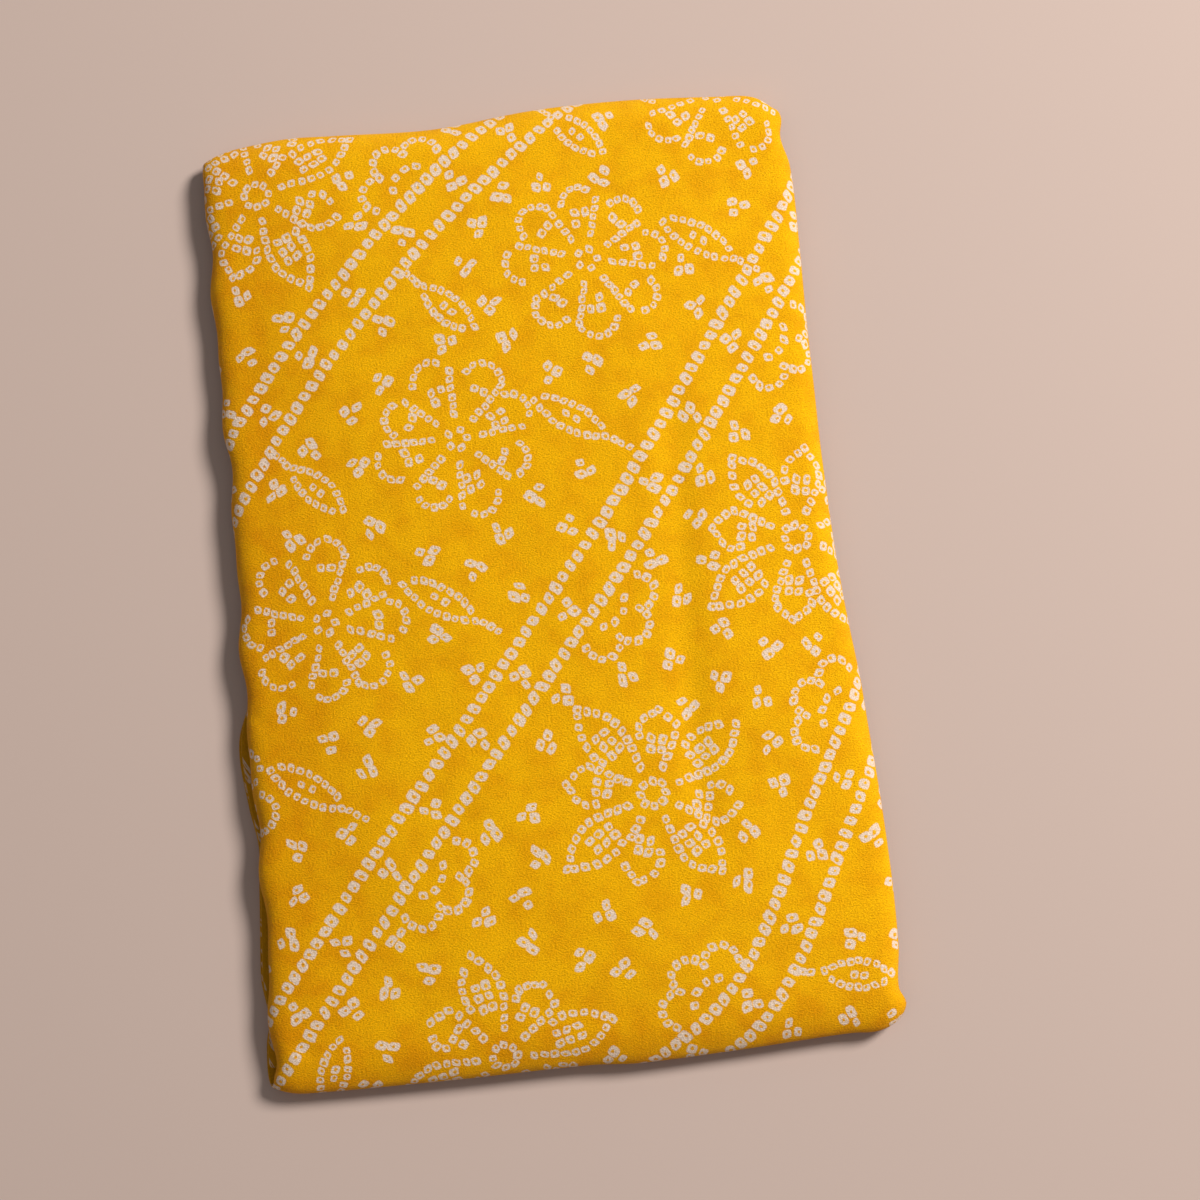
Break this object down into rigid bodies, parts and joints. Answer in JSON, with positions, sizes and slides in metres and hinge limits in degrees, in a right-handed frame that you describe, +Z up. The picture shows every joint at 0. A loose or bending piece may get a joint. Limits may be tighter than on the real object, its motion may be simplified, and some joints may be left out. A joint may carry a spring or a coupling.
{
  "type": "folded length of printed crepe cloth",
  "caption": "Length of golden yellow crepe cloth with a pale dotted flower print, folded back and forth into a low flat stack.",
  "frame": {"origin": "middle of the underside, on the surface that the stack rests on", "axes": "+Z up out of the stack; +Y along the stack, towards the end where the top layer wraps down to its tucked flap; +X across the strip, towards the plain side edge"},
  "size_m": [0.2884, 0.4456, 0.0212],
  "materials": {
    "printed_crepe": "matt pebbled crepe with a pale dotted print"
  },
  "bodies": {
    "root": {"folded_cloth": "printed_crepe"}
  },
  "joints": []
}
